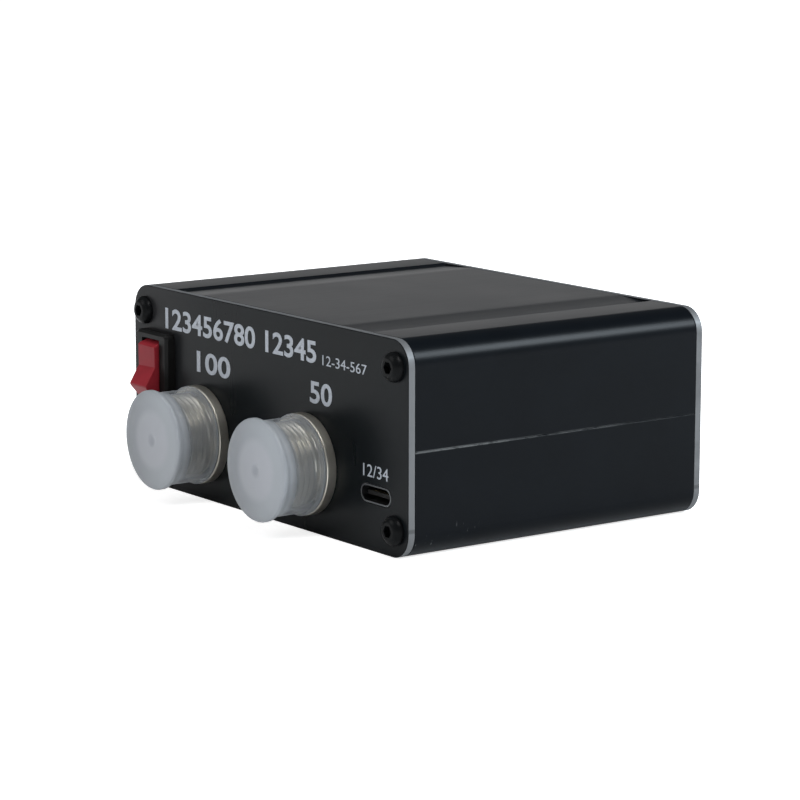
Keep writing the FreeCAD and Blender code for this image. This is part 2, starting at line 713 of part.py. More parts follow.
def ring_winding(x, y):
    """Turns of enamelled wire spread round a ring core."""
    gap = WIRE_R + 0.05
    half = CORE_T / 2 + gap
    r0, r1 = CORE_BORE_R - gap, CORE_R + gap
    corner = 0.7
    centre_z = LINK_Z + (r0 + r1) / 2
    turn_wire = rounded_wire(x, centre_z, 2 * half, r1 - r0, corner, y)
    start = V(x + half, y, centre_z)
    profile = Part.Wire(Part.makeCircle(WIRE_R, start, V(0, 0, 1)))
    turn = turn_wire.makePipeShell([profile], True, False)
    turns = []
    for k in range(TURNS):
        angle = WOUND_ARC * (k / (TURNS - 1) - 0.5)
        copy = turn.copy()
        copy.rotate(V(x, y, LINK_Z), V(1, 0, 0), angle)
        turns.append(copy)
    return group(turns)


def gull_package(x, y, body_w, body_d, body_h, leads, sides):
    """A moulded chip with small leads along its sides, standing on the board."""
    chip = block(x, y, BOARD_TOP + 0.1, body_w, body_d, body_h)
    pitch = (body_w - 1.0) / (leads - 1)
    for side in (-1, 1):
        for k in range(leads):
            offset = (k - (leads - 1) / 2) * pitch
            reach = body_d / 2 + 0.4
            chip = chip.fuse(block(x + offset, y + side * reach, BOARD_TOP, 0.3, 1.2, 0.35))
            if sides == 4:
                reach = body_w / 2 + 0.4
                chip = chip.fuse(block(x + side * reach, y + offset, BOARD_TOP, 1.2, 0.3, 0.35))
    return one(chip)


def detector_diodes():
    """Two small glass diodes lying on the board beside the coupler."""
    diodes = []
    for x in (-18.0, 17.0):
        diodes.append(Part.makeCylinder(0.8, 3.5, V(x, -6.5, BOARD_TOP + 0.8), V(0, 1, 0)))
    return group(diodes)


def trimmers():
    """Two square trimming resistors with a slotted adjuster."""
    parts = []
    for x in (-25.0, 25.0):
        body = block(x, -2.0, BOARD_TOP, 6.0, 6.0, 3.4)
        dial = Part.makeCylinder(1.6, 0.6, V(x, -2.0, BOARD_TOP + 3.4))
        slot = block(x, -2.0, BOARD_TOP + 3.6, 2.6, 0.5, 0.5)
        parts.append(one(body.fuse(dial).cut(slot)))
    return group(parts)


def power_inductor():
    body = block(31.0, -3.5, BOARD_TOP, 5.2, 5.2, 2.8)
    upright = [e for e in body.Edges if e.BoundBox.ZMax - e.BoundBox.ZMin > 1]
    return one(body.makeFillet(1.2, upright))


def chip_row(places, w, d, h):
    return group([block(x, y, BOARD_TOP, w, d, h) for x, y in places])


def chip_capacitors():
    beside_coupler = [(x, y) for x in (-16.0, 14.5) for y in (-10.5, 3.5)]
    beside_chip = [(x, 18.0) for x in (-9.0, -5.0, 3.0, 7.0)]
    beside_supply = [(35.5, y) for y in (-14.0, -8.0, 2.0)]
    return chip_row(beside_coupler + beside_chip + beside_supply, 2.0, 1.25, 1.0)


def chip_resistors():
    beside_coupler = [(x, y) for x in (-20.0, 18.5) for y in (-12.0, 1.0, 4.0)]
    beside_chip = [(x, y) for x in (-12.0, 10.5) for y in (8.5, 11.0, 13.5)]
    return chip_row(beside_coupler + beside_chip, 1.6, 0.8, 0.5)


def wire_plug(x, y):
    """A two-way wire plug standing in its socket on the board."""
    shroud = block(x, y, BOARD_TOP, 7.4, 4.6, PLUG_H)
    ribs = [block(x + s * 2.9, y - 2.5, BOARD_TOP, 0.8, 0.6, 3.4) for s in (-1, 1)]
    return one(shroud.fuse(ribs))


# ---- cell ----------------------------------------------------------------------------------
def cell_floor():
    return WALL_FLAT + PAD_T


def battery_cell():
    """A flat pouch cell with a folded seam and a small protection board at one end."""
    y0, y1 = CELL_Y - CELL_D / 2, CELL_Y + CELL_D / 2
    pouch = rounded_prism(0, cell_floor() + CELL_T / 2, CELL_W, CELL_T, 1.6, y0, y1 - 2.4)
    shelf = block(0, y1 - 1.2, cell_floor() + 0.8, CELL_W - 6, 2.4, 2.6)
    return one(pouch.fuse(shelf))


def battery_pad():
    return block(0, CELL_Y - 1.2, WALL_FLAT, CELL_W - 6, CELL_D - 8, PAD_T)


def battery_leads():
    """Two leads from the cell, up through the board and over to their plug."""
    start_y = CELL_Y + CELL_D / 2
    z0 = cell_floor() + 2.1
    top = BOARD_TOP + 7.0
    plug_y = plug_places()["battery"][1]
    leads = []
    for side in (-1, 1):
        x = lead_x() + side * LEAD_PITCH / 2
        route = [
            (x, start_y, z0), (x, LEAD_SLOT_Y, z0), (x, LEAD_SLOT_Y, top),
            (x, plug_y, top), (x, plug_y, BOARD_TOP + PLUG_H),
        ]
        leads.append(rod(route, LEAD_R, LEAD_BEND))
    return group(leads)


def plug_places():
    return {"battery": (19.0, 18.0), "switch": (SWITCH_X, -4.0)}


def switch_leads():
    """Two leads from the switch blades down to their plug."""
    x_plug, y_plug = plug_places()["switch"]
    leads = []
    for z, side in zip(blade_heights(), (-1, 1)):
        x = x_plug + side * LEAD_PITCH / 2
        route = [(x, behind(BLADE_END), z), (x, y_plug, z), (x, y_plug, BOARD_TOP + PLUG_H)]
        leads.append(rod(route, LEAD_R, 2.5))
    return group(leads)


# ---- display ---------------------------------------------------------------------------------
def display_stack():
    """The pane, gasket, panel and board, from the far plate inwards."""
    y = BODY_Y
    pane = block(0, y - PANE_T / 2, DISPLAY_Z - 13, 44, PANE_T, 26)
    y -= PANE_T
    frame = block(0, y - GASKET_T / 2, DISPLAY_Z - 14, 46, GASKET_T, 28)
    gasket = frame.cut(
        block(0, y - GASKET_T / 2, DISPLAY_Z - WINDOW_H / 2, WINDOW_W, GASKET_T, WINDOW_H)
    )
    y -= GASKET_T
    panel = block(0, y - PANEL_T / 2, DISPLAY_Z - 14, 46, PANEL_T, 28)
    y -= PANEL_T
    board = block(0, y - DISPLAY_BOARD_T / 2, DISPLAY_Z - 14.5, 52, DISPLAY_BOARD_T, 29)
    holes = [cylinder(x, pin_z(), 0.5, y - DISPLAY_BOARD_T, y) for x in pin_places()]
    return one(pane), one(gasket), one(panel), one(board.cut(holes))


def pin_z():
    return BOARD_TOP + 1.5


def display_y():
    """The side of the display board that faces the main board's header."""
    return BODY_Y - PANE_T - GASKET_T - PANEL_T - DISPLAY_BOARD_T


def header_block():
    w = PIN_COUNT * PIN_PITCH
    body = block(0, header_y(), BOARD_TOP, w, 2.5, 2.6)
    holes = []
    for x in pin_places():
        holes.append(block(x, header_y(), BOARD_TOP, PIN_SIDE, PIN_SIDE, pin_z() - BOARD_TOP))
        holes.append(box(
            x - PIN_SIDE / 2, x + PIN_SIDE / 2, header_y() - PIN_SIDE / 2, header_y() + 2,
            pin_z() - PIN_SIDE / 2, pin_z() + PIN_SIDE / 2,
        ))
    return one(body.cut(holes))


def header_pins():
    """Right-angle pins from the main board through the display board."""
    half = PIN_SIDE / 2
    pins = []
    for x in pin_places():
        down = box(
            x - half, x + half, header_y() - half, header_y() + half,
            BOARD_BOTTOM - 0.8, pin_z() + half,
        )
        across = box(
            x - half, x + half, header_y() - half, display_y() + DISPLAY_BOARD_T - 0.1,
            pin_z() - half, pin_z() + half,
        )
        pins.append(one(down.fuse(across)))
    return group(pins)


# ---- all nodes -------------------------------------------------------------------------------
def build_nodes():
    nodes = {}
    nodes["bottom_shell"], nodes["top_shell"] = half_shells()
    nodes["front_plate"] = front_plate()
    nodes["rear_plate"] = rear_plate()
    for name, facing in (("front_screws", -1), ("rear_screws", 1)):
        nodes[name] = group([button_screw(x, z, facing) for x, z in screw_places()])
    for name, x in (("antenna", ANTENNA_X), ("transmitter", TRANSMITTER_X)):
        nodes[name + "_socket_body"] = socket_body(x)
        nodes[name + "_insulator"] = insulator(x)
        nodes[name + "_contact"] = centre_contact(x)
        nodes[name + "_nut"] = socket_nut(x)
        nodes[name + "_lock_washer"] = lock_washer(x)
        nodes[name + "_cap"] = dust_cap(x)
    nodes["switch_housing"] = switch_housing()
    nodes["switch_rocker"] = rocker()
    nodes["switch_plunger"] = plunger()
    nodes["switch_spring"] = plunger_spring()
    nodes["switch_lever"] = contact_lever()
    nodes["switch_blades"] = switch_blades()
    nodes["switch_leads"] = switch_leads()
    nodes["port_shell"] = port_shell()
    nodes["port_tongue"] = port_tongue()
    nodes["port_contacts"] = port_contacts()
    nodes["main_board"] = main_board()
    nodes["line_link"] = line_link()
    nodes["line_core"] = ring_core(LINE_CORE_X, LINE_LINK_Y)
    nodes["line_winding"] = ring_winding(LINE_CORE_X, LINE_LINK_Y)
    nodes["sense_link"] = sense_link()
    nodes["sense_core"] = ring_core(0.0, SENSE_LINK_Y)
    nodes["sense_winding"] = ring_winding(0.0, SENSE_LINK_Y)
    nodes["detector_diodes"] = detector_diodes()
    nodes["trimmers"] = trimmers()
    nodes["microcontroller"] = gull_package(-1.0, 11.5, 7.0, 7.0, 1.2, 8, 4)
    nodes["charger_chip"] = gull_package(30.5, -13.0, 4.9, 3.9, 1.4, 4, 2)
    nodes["power_inductor"] = power_inductor()
    nodes["crystal"] = block(-8.5, 14.5, BOARD_TOP, 3.2, 2.5, 0.8)
    nodes["chip_capacitors"] = chip_capacitors()
    nodes["chip_resistors"] = chip_resistors()
    nodes["battery_cell"] = battery_cell()
    nodes["battery_pad"] = battery_pad()
    nodes["battery_leads"] = battery_leads()
    for name, (x, y) in plug_places().items():
        nodes[name + "_plug"] = wire_plug(x, y)
    names = ("display_window", "display_gasket", "display_panel", "display_board")
    nodes.update(zip(names, display_stack()))
    nodes["display_header"] = header_block()
    nodes["display_header_pins"] = header_pins()
    return nodes


def main():
    os.makedirs("parts", exist_ok=True)
    for name, shape in build_nodes().items():
        assert shape.isValid(), name
        shape.exportStep("parts/" + name + ".step")
        print(name, len(shape.Solids), round(shape.Volume, 2))


main()
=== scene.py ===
import json
import math

import bmesh
import bpy
from mathutils import Matrix, Vector


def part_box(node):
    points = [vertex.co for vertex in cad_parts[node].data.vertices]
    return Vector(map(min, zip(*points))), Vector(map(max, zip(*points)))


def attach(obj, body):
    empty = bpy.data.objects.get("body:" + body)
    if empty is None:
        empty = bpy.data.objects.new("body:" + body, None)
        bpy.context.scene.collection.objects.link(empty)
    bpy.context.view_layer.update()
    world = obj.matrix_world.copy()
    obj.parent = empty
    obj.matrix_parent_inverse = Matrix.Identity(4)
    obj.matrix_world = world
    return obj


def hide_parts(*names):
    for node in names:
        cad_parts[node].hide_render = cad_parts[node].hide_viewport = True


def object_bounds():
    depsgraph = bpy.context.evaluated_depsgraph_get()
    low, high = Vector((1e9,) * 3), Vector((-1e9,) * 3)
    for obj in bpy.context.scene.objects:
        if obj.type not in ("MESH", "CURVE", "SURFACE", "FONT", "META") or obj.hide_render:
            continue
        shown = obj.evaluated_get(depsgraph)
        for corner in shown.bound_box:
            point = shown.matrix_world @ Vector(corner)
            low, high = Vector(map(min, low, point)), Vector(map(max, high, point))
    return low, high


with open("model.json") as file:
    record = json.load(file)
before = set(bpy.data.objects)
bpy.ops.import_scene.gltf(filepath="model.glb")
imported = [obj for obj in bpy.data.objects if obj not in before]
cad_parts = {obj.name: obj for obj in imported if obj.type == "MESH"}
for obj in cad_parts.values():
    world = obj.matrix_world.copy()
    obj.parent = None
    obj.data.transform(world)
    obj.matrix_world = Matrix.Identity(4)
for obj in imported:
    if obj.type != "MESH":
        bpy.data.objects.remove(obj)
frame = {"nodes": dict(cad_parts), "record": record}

bl_info = {
    "name": "Coaxial Meter",
    "version": (1, 0),
    "blender": (4, 5, 0),
    "location": "View3D > Sidebar > Meter",
    "description": "Finishes the pieces of a small in-line radio meter around its packed frame",
    "category": "Add Mesh",
}

MM = 0.001
RECORD_COLOURS = {m["slot"]: tuple(m["base_color"][:3]) for m in frame["record"]["materials"]}
NODE_SLOTS = {s["node"]: s["material_slot"] for s in frame["record"]["subparts"]}
NODE_BODIES = {n: b for b, ns in frame["record"]["behaviour"]["bodies"].items() for n in ns}
SOCKETS = ("antenna", "transmitter")

MODEL_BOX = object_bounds()
PANEL_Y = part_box("front_plate")[0].y
CASE_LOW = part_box("front_plate")[0]
CASE_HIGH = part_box("rear_plate")[1]
CASE_CENTRE = (CASE_LOW + CASE_HIGH) / 2
CASE_CORNER = 4.5 * MM
MOUTH_NOTCH = 0.9 * MM
SOCKET_BORE = 6.1 * MM
THREAD_STEPS = 60
SEAM_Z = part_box("top_shell")[0].z


# ---- sizes and colours a user may change -------------------------------------------------
def length(label, description, value):
    """A length in metres with a sensible precision for small parts."""
    return bpy.props.FloatProperty(
        name=label, description=description, default=value, min=0.0, unit="LENGTH", precision=5
    )


def colour(label, description, value):
    return bpy.props.FloatVectorProperty(
        name=label, description=description, default=value, min=0.0, max=1.0, subtype="COLOR"
    )


class MeterSizes(bpy.types.PropertyGroup):
    case_round: length("Case edge round", "Round on the extrusion's cut ends", 0.12 * MM)
    plate_round: length("Plate edge round", "Round on the end plates' milled edges", 0.06 * MM)
    plastic_round: length("Plastic edge round", "Round on the switch's moulded edges", 0.28 * MM)
    thread_radius: length("Thread radius", "Radius over the sockets' thread crests", 7.94 * MM)
    thread_root: length("Thread root", "Radius at the bottom of the thread", 7.3 * MM)
    thread_pitch: length("Thread pitch", "Distance between thread turns", 25.4 / 24 * MM)
    cap_radius: length("Cap radius", "Outer radius of the dust caps' sleeve", 8.6 * MM)
    cap_bore: length("Cap bore", "Inner radius of the dust caps' sleeve", 8.0 * MM)
    title_height: length("Scale digit height", "Height of the digits along the top", 4.1 * MM)
    label_height: length("Label height", "Height of the socket numbers", 4.0 * MM)
    print_thickness: length("Print thickness", "Height of the printed ink", 0.02 * MM)


class MeterColours(bpy.types.PropertyGroup):
    case: colour("Case", "Satin coating of the extrusion", (0.0024, 0.0033, 0.0045))
    panel: colour("Panel", "Coating of the end plates' faces", (0.0042, 0.0056, 0.0066))
    milled: colour("Milled edge", "Bare metal of the plates' edges", (0.105, 0.108, 0.112))
    nickel: colour("Nickel", "Plating of the sockets", (0.56, 0.54, 0.48))
    cap: colour("Cap", "Translucent plastic of the dust caps", (0.36, 0.388, 0.42))
    rocker: colour("Rocker", "Moulded plastic of the rocker", (0.235, 0.018, 0.026))
    ink: colour("Ink", "Printed digits", (0.42, 0.45, 0.50))


# ---- shader building ---------------------------------------------------------------------
class Socket:
    """A shader output that takes part in arithmetic; each operation adds a Math node."""

    def __init__(self, finish, socket):
        self.finish = finish
        self.socket = socket

    def maths(self, operation, *values, clamp=False):
        settings = {"operation": operation, "use_clamp": clamp}
        return self.finish.node("ShaderNodeMath", settings, dict(enumerate(values)))

    def __add__(self, other):
        return self.maths("ADD", self, other)

    def __sub__(self, other):
        return self.maths("SUBTRACT", self, other)

    def __rsub__(self, other):
        return self.maths("SUBTRACT", other, self)

    def __mul__(self, other):
        return self.maths("MULTIPLY", self, other)

    def __truediv__(self, other):
        return self.maths("DIVIDE", self, other)

    def __abs__(self):
        return self.maths("ABSOLUTE", self)

    __radd__ = __add__
    __rmul__ = __mul__

    def between(self, low, high):
        """0 below low, 1 above high, smooth between; high may be the lower number."""
        settings = {"interpolation_type": "SMOOTHSTEP"}
        if low < high:
            values = {"Value": self, "From Min": low, "From Max": high}
            return self.finish.node("ShaderNodeMapRange", settings, values, "Result")
        values = {"Value": self, "From Min": high, "From Max": low}
        return 1 - self.finish.node("ShaderNodeMapRange", settings, values, "Result")

    def at_least(self, low):
        return self.maths("MAXIMUM", self, low)

    def root(self):
        return self.maths("SQRT", self)

    def clamped(self):
        return self.maths("ADD", self, 0.0, clamp=True)


class Finish:
    """A material, light or world node tree, and the nodes that make it up."""

    def __init__(self, tree):
        self.tree = tree
        tree.nodes.clear()

    def node(self, kind, settings=None, values=None, output=0):
        """Adds a node, sets it up, then fills its sockets with values or links."""
        made = self.tree.nodes.new(kind)
        for key, value in (settings or {}).items():
            if key == "stops":
                self.set_stops(made.color_ramp, value)
            else:
                setattr(made, key, value)
        for key, value in (values or {}).items():
            if isinstance(value, Socket):
                self.tree.links.new(value.socket, made.inputs[key])
            else:
                made.inputs[key].default_value = value
        return Socket(self, made.outputs[output]) if len(made.outputs) else made

    @staticmethod
    def set_stops(ramp, stops):
        while len(ramp.elements) < len(stops):
            ramp.elements.new(1.0)
        for element, (position, shade) in zip(ramp.elements, stops):
            element.position = position
            element.color = shade

    def place(self, stretch=(1, 1, 1), offset=(0, 0, 0)):
        """Object coordinates, stretched and moved."""
        coordinates = self.node("ShaderNodeTexCoord", output="Object")
        values = {"Vector": coordinates, "Scale": stretch, "Location": offset}
        return self.node("ShaderNodeMapping", {"vector_type": "POINT"}, values)

    def axis(self, name, vector=None):
        """One component of a vector, by default of the place in metres."""
        vector = vector or self.node("ShaderNodeTexCoord", output="Object")
        return self.node("ShaderNodeSeparateXYZ", values={"Vector": vector}, output=name)

    def noise(self, size, detail=3.0, roughness=0.55, vector=None, distortion=0.0):
        """Smooth noise about 0.5 whose features are about size metres wide."""
        values = {
            "Vector": vector or self.place(), "Scale": 1.0 / size, "Detail": detail,
            "Roughness": roughness, "Distortion": distortion,
        }
        return self.node("ShaderNodeTexNoise", {"noise_dimensions": "3D"}, values, "Fac")

    def cells(self, size, vector=None, feature="F1", output="Distance"):
        values = {"Vector": vector or self.place(), "Scale": 1.0 / size}
        return self.node("ShaderNodeTexVoronoi", {"feature": feature}, values, output)

    def mix(self, amount, first, second):
        """Blends two colours."""
        values = {"Factor": amount, 6: first, 7: second}
        return self.node("ShaderNodeMix", {"data_type": "RGBA"}, values, 2)

    def bump(self, height, depth, strength=1.0):
        values = {"Height": height, "Distance": depth, "Strength": strength}
        return self.node("ShaderNodeBump", values=values, output="Normal")

    def principled(self, **values):
        names = {key.replace("_", " ").title().replace("Ior", "IOR"): v for key, v in values.items()}
        return self.node("ShaderNodeBsdfPrincipled", values=names)

    def end(self, shader, kind="ShaderNodeOutputMaterial"):
        self.node(kind, values={"Surface": shader})


def opaque(rgb):
    return (rgb[0], rgb[1], rgb[2], 1.0)


def shade(rgb, factor):
    return opaque([min(1.0, c * factor) for c in rgb])


# ---- finishes ----------------------------------------------------------------------------
def case_black(finish, rgb):
    """Satin coating: fine orange peel, faint extrusion lines, a seam lightened by rub wear and by a
    painted highlight on its bevel, and a few scuffs.
    """
    peel = finish.noise(0.35 * MM, detail=2.0)
    lines = finish.noise(1.0 * MM, detail=2.0, vector=finish.place((1.0, 0.02, 1.0)))
    cloud = finish.noise(14 * MM, detail=3.0)
    x, y, z = (finish.axis(name) for name in "XYZ")
    nicks = finish.noise(0.6 * MM, detail=4.0, vector=finish.place((1.0, 0.25, 1.0)))
    # Fades the seam mark from front to back; the mark is partly wear and partly painted highlight.
    wear_and_painted_light = y.between(-9 * MM, -15 * MM) * 0.6 + y.between(18 * MM, 10 * MM) * 0.3 + 0.1
    seam = abs(z - SEAM_Z).between(0.3 * MM, 0.05 * MM) * nicks.between(0.3, 0.55) * wear_and_painted_light
    side = abs(x).between(CASE_HIGH.x - 0.7 * MM, CASE_HIGH.x - 0.3 * MM)
    low_front = z.between(7 * MM, 2 * MM) * y.between(-14 * MM, -22 * MM)
    scratches = finish.noise(0.8 * MM, detail=2.0, vector=finish.place((1.0, 1.6, 0.35)))
    scuffs = low_front * side * scratches.between(0.68, 0.73)
    # Painted highlight: the seam's light mark is partly rub wear and partly light caught on the seam's
    # bevel; the scuffs are wear.
    rubbed_and_highlight = (seam * side * 0.55 + scuffs * 0.6).clamped()
    base = finish.mix(cloud.between(0.3, 0.75), shade(rgb, 0.88), shade(rgb, 1.12))
    finish.end(finish.principled(
        base_color=finish.mix(rubbed_and_highlight, base, (0.16, 0.165, 0.165, 1.0)),
        roughness=0.25 + 0.05 * cloud + 0.03 * lines,
        normal=finish.bump(peel * 0.7 + lines * 0.3, 0.0035 * MM),
        specular_ior_level=0.05,
    ))


def panel_black(finish, rgb):
    """Semi-gloss printed panel face with faint wipe marks, lightened toward its left end as a painted
    glare.
    """
    grain = finish.noise(0.22 * MM, detail=2.0)
    wipes = finish.noise(9 * MM, detail=2.0, vector=finish.place((1.0, 1.0, 0.3)))
    base = finish.mix(wipes.between(0.3, 0.7), shade(rgb, 0.9), shade(rgb, 1.12))
    # Painted glare, not dust: lightens the face toward its left end.
    dust = finish.axis("X").between(-12 * MM, -42 * MM) * 0.028
    finish.end(finish.principled(
        base_color=finish.mix(dust, base, (0.5, 0.45, 0.46, 1.0)),
        roughness=0.25 + 0.07 * wipes,
        normal=finish.bump(grain, 0.002 * MM),
        specular_ior_level=0.065,
    ))


def milled_edge(finish, rgb):
    """Bare aluminium left by the cutter, with fine marks across the edge, dull patches and a painted
    shade band near where the corner round begins.
    """
    marks = finish.noise(0.25 * MM, detail=2.0, vector=finish.place((0.6, 0.12, 0.6)))
    patches = finish.noise(5 * MM, detail=2.0)
    # Painted shade: a darker band all round at 5.2 mm height, near where the outline's corner round
    # turns the edge downward.
    wear_and_painted_light = abs(finish.axis("Z") - 5.2 * MM).between(0.5 * MM, 0.2 * MM)
    base = finish.mix(patches.between(0.52, 0.72), opaque(rgb), shade(rgb, 0.8))
    finish.end(finish.principled(
        base_color=finish.mix(wear_and_painted_light * 0.6, base, shade(rgb, 0.3)),
        metallic=0.35,
        roughness=0.42 + 0.18 * marks,
        normal=finish.bump(marks, 0.006 * MM),
        specular_ior_level=0.3,
    ))


def metal(base_rgb, roughness, grain=0.3 * MM, stretch=(1, 1, 1), tarnish=0.8, metallic=1.0,
          depth=0.003, specular=0.5):
    """A maker of plain metal finishes."""

    def build(finish, rgb):
        fine = finish.noise(grain, detail=3.0, vector=finish.place(stretch))
        cloud = finish.noise(3.5 * MM, detail=3.0)
        tone = base_rgb or rgb
        finish.end(finish.principled(
            base_color=finish.mix(cloud.between(0.35, 0.75), opaque(tone), shade(tone, tarnish)),
            metallic=metallic,
            roughness=roughness + 0.12 * (cloud - 0.5) + 0.05 * fine,
            normal=finish.bump(fine, depth * MM),
            specular_ior_level=specular,
        ))

    return build


def moulded(roughness, grain=0.15 * MM, depth=0.004, mottle=0.9, specular=0.5, tone=1.0):
    """A maker of plain moulded plastic finishes."""

    def build(finish, rgb):
        rgb = tuple(c * tone for c in rgb)
        fine = finish.noise(grain, detail=2.0)
        flow = finish.noise(4 * MM, detail=2.0, distortion=0.5)
        finish.end(finish.principled(
            base_color=finish.mix(flow.between(0.3, 0.7), shade(rgb, mottle), shade(rgb, 2 - mottle)),
            roughness=roughness + 0.08 * (flow - 0.5),
            normal=finish.bump(fine, depth * MM),
            specular_ior_level=specular,
        ))

    return build


def cap_milky(finish, rgb):
    """Soft translucent plastic: thin milky walls that clear towards the panel, and a cloudy end whose
    face carries painted light and shade.
    """
    x, y, z = (finish.axis(name) for name in "XYZ")
    out = PANEL_Y - y
    left, right = (sum(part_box(name + "_cap"), Vector()) / 2 for name in SOCKETS)
    middle = (left.x + right.x) / 2
    across = x - left.x - (right.x - left.x) * x.between(middle - MM, middle + MM)
    up = z - left.z
    radius = (across * across + up * up).root()
    cloud = finish.noise(5 * MM, detail=3.0, distortion=0.4)
    fine = finish.noise(0.3 * MM, detail=2.0)
    streaks = finish.noise(4 * MM, detail=1.0)
    end = out.between(7.2 * MM, 10.0 * MM)
    lip = out.between(3.1 * MM, 2.6 * MM)
    facing = finish.node("ShaderNodeLayerWeight", values={"Blend": 0.5}, output="Facing")
    wall = (0.20 + 0.04 * streaks + 0.10 * lip - 0.08 * up.between(0, 6 * MM)) / (1.12 - facing)
    # Painted light: the face's middle is lightened and tinted as if lit through from behind.
    painted_light_core = radius.between(6.4 * MM, 4.4 * MM) * (0.8 - 0.3 * cloud)
    # Painted shade: a darker spot at the face's centre, where the hollow lies behind it.
    dim = radius.between(1.8 * MM, 0.4 * MM)
    # Painted light: each cap is painted darker on its left side and lighter on its right, as if lit
    # from the right.
    base = finish.mix(across.between(-9 * MM, 6 * MM), shade(rgb, 0.56), shade(rgb, 0.90))
    base = finish.mix(cloud.between(0.3, 0.7) * 0.25, base, shade(rgb, 0.8))
    inner = opaque((rgb[0] * 1.10, rgb[1] * 1.03, rgb[2] * 1.05))
    base = finish.mix(painted_light_core.clamped() * 0.7, base, inner)
    base = finish.mix(dim * 0.4, base, shade(rgb, 0.85))
    finish.end(finish.principled(
        base_color=base,
        roughness=0.34 + 0.12 * cloud,
        alpha=(wall + end).clamped(),
        normal=finish.bump(fine * 0.4 + cloud * 0.6, 0.02 * MM),
        specular_ior_level=0.35,
    ))


def window_clear(finish, rgb):
    """Smoked acrylic, clear enough to show the display behind it."""
    haze = finish.noise(6 * MM, detail=3.0)
    finish.end(finish.principled(
        base_color=finish.mix(haze, opaque((0.008, 0.009, 0.010)), opaque((0.012, 0.013, 0.015))),
        roughness=0.03 + 0.05 * haze,
        alpha=0.35 + 0.05 * haze,
    ))


def diode_glass(finish, rgb):
    """Orange glass with darker swirls and plated ends."""
    along = finish.axis("Y")
    lo, hi = (corner.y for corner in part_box("detector_diodes"))
    middle = abs(along - (lo + hi) / 2)
    ends = middle.between((hi - lo) * 0.28, (hi - lo) * 0.30)
    swirl = finish.noise(0.5 * MM)
    tint = finish.mix(swirl, shade(rgb, 0.7), opaque(rgb))
    finish.end(finish.principled(
        base_color=finish.mix(ends, tint, opaque((0.75, 0.74, 0.72))),
        metallic=ends,
        roughness=0.08 + 0.15 * swirl,
    ))


def board_green(finish, rgb):
    """Solder mask over raised tracks, with bare pads here and there."""
    cells = finish.cells(3.2 * MM, finish.place((1.0, 1.0, 0.01)), "DISTANCE_TO_EDGE")
    tracks = cells.between(0.07, 0.04)
    pads = finish.cells(2.6 * MM, finish.place((1.0, 1.0, 0.01))).between(0.16, 0.14)
    weave = finish.noise(0.25 * MM, detail=1.0)
    mask = finish.mix(tracks, shade(rgb, 0.8), shade(rgb, 1.7))
    finish.end(finish.principled(
        base_color=finish.mix(pads, mask, opaque((0.72, 0.70, 0.62))),
        metallic=pads * 0.9,
        roughness=0.26 + 0.1 * weave,
        normal=finish.bump(tracks + weave * 0.15, 0.03 * MM),
    ))


def speckled(light, dark, size, roughness, depth=0.01):
    """A maker of pressed powder and ceramic finishes."""

    def build(finish, rgb):
        grains = finish.noise(size, detail=4.0, roughness=0.7)
        specks = finish.cells(size * 2).between(0.18, 0.12)
        base = finish.mix(grains.between(0.35, 0.65), shade(rgb, dark), shade(rgb, light))
        finish.end(finish.principled(
            base_color=finish.mix(specks * 0.5, base, shade(rgb, light * 1.3)),
            roughness=roughness + 0.1 * grains,
            normal=finish.bump(grains, depth * MM),
        ))

    return build


def cell_foil(finish, rgb):
    """Embossed foil pouch with soft creases."""
    creases = finish.noise(6 * MM, detail=5.0, distortion=1.2)
    emboss = finish.cells(0.7 * MM)
    finish.end(finish.principled(
        base_color=finish.mix(creases, shade(rgb, 0.85), opaque(rgb)),
        metallic=0.95,
        roughness=0.30 + 0.15 * creases,
        normal=finish.bump(creases + emboss * 0.1, 0.12 * MM),
    ))


def foam(finish, rgb):
    """Open-celled foam."""
    cells = finish.cells(0.5 * MM)
    fine = finish.noise(0.2 * MM)
    finish.end(finish.principled(
        base_color=finish.mix(cells.between(0.1, 0.6), shade(rgb, 0.5), shade(rgb, 1.4)),
        roughness=0.85 + 0.1 * fine,
        normal=finish.bump(cells + fine * 0.3, 0.1 * MM),
    ))


def display_dark(finish, rgb):
    """Dark display glass: a faintly lighter active area in a black border."""
    x, z = finish.axis("X"), finish.axis("Z")
    lo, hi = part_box("display_panel")
    middle, half = (lo + hi) / 2, (hi - lo) / 2
    across = abs(x - middle.x).between(half.x * 0.84, half.x * 0.82)
    along = abs(z - middle.z).between(half.z * 0.74, half.z * 0.72)
    haze = finish.noise(3 * MM)
    active = finish.mix(haze, opaque((0.048, 0.054, 0.062)), opaque((0.060, 0.067, 0.076)))
    finish.end(finish.principled(
        base_color=finish.mix(across * along, opaque(rgb), active),
        roughness=0.10 + 0.06 * haze,
    ))


def ink(finish, rgb):
    """Screen-printed ink, a little uneven."""
    uneven = finish.noise(0.5 * MM, detail=4.0)
    finish.end(finish.principled(
        base_color=finish.mix(uneven.between(0.3, 0.75), shade(rgb, 0.78), shade(rgb, 1.05)),
        roughness=0.5 + 0.15 * uneven,
        normal=finish.bump(uneven, 0.01 * MM),
    ))


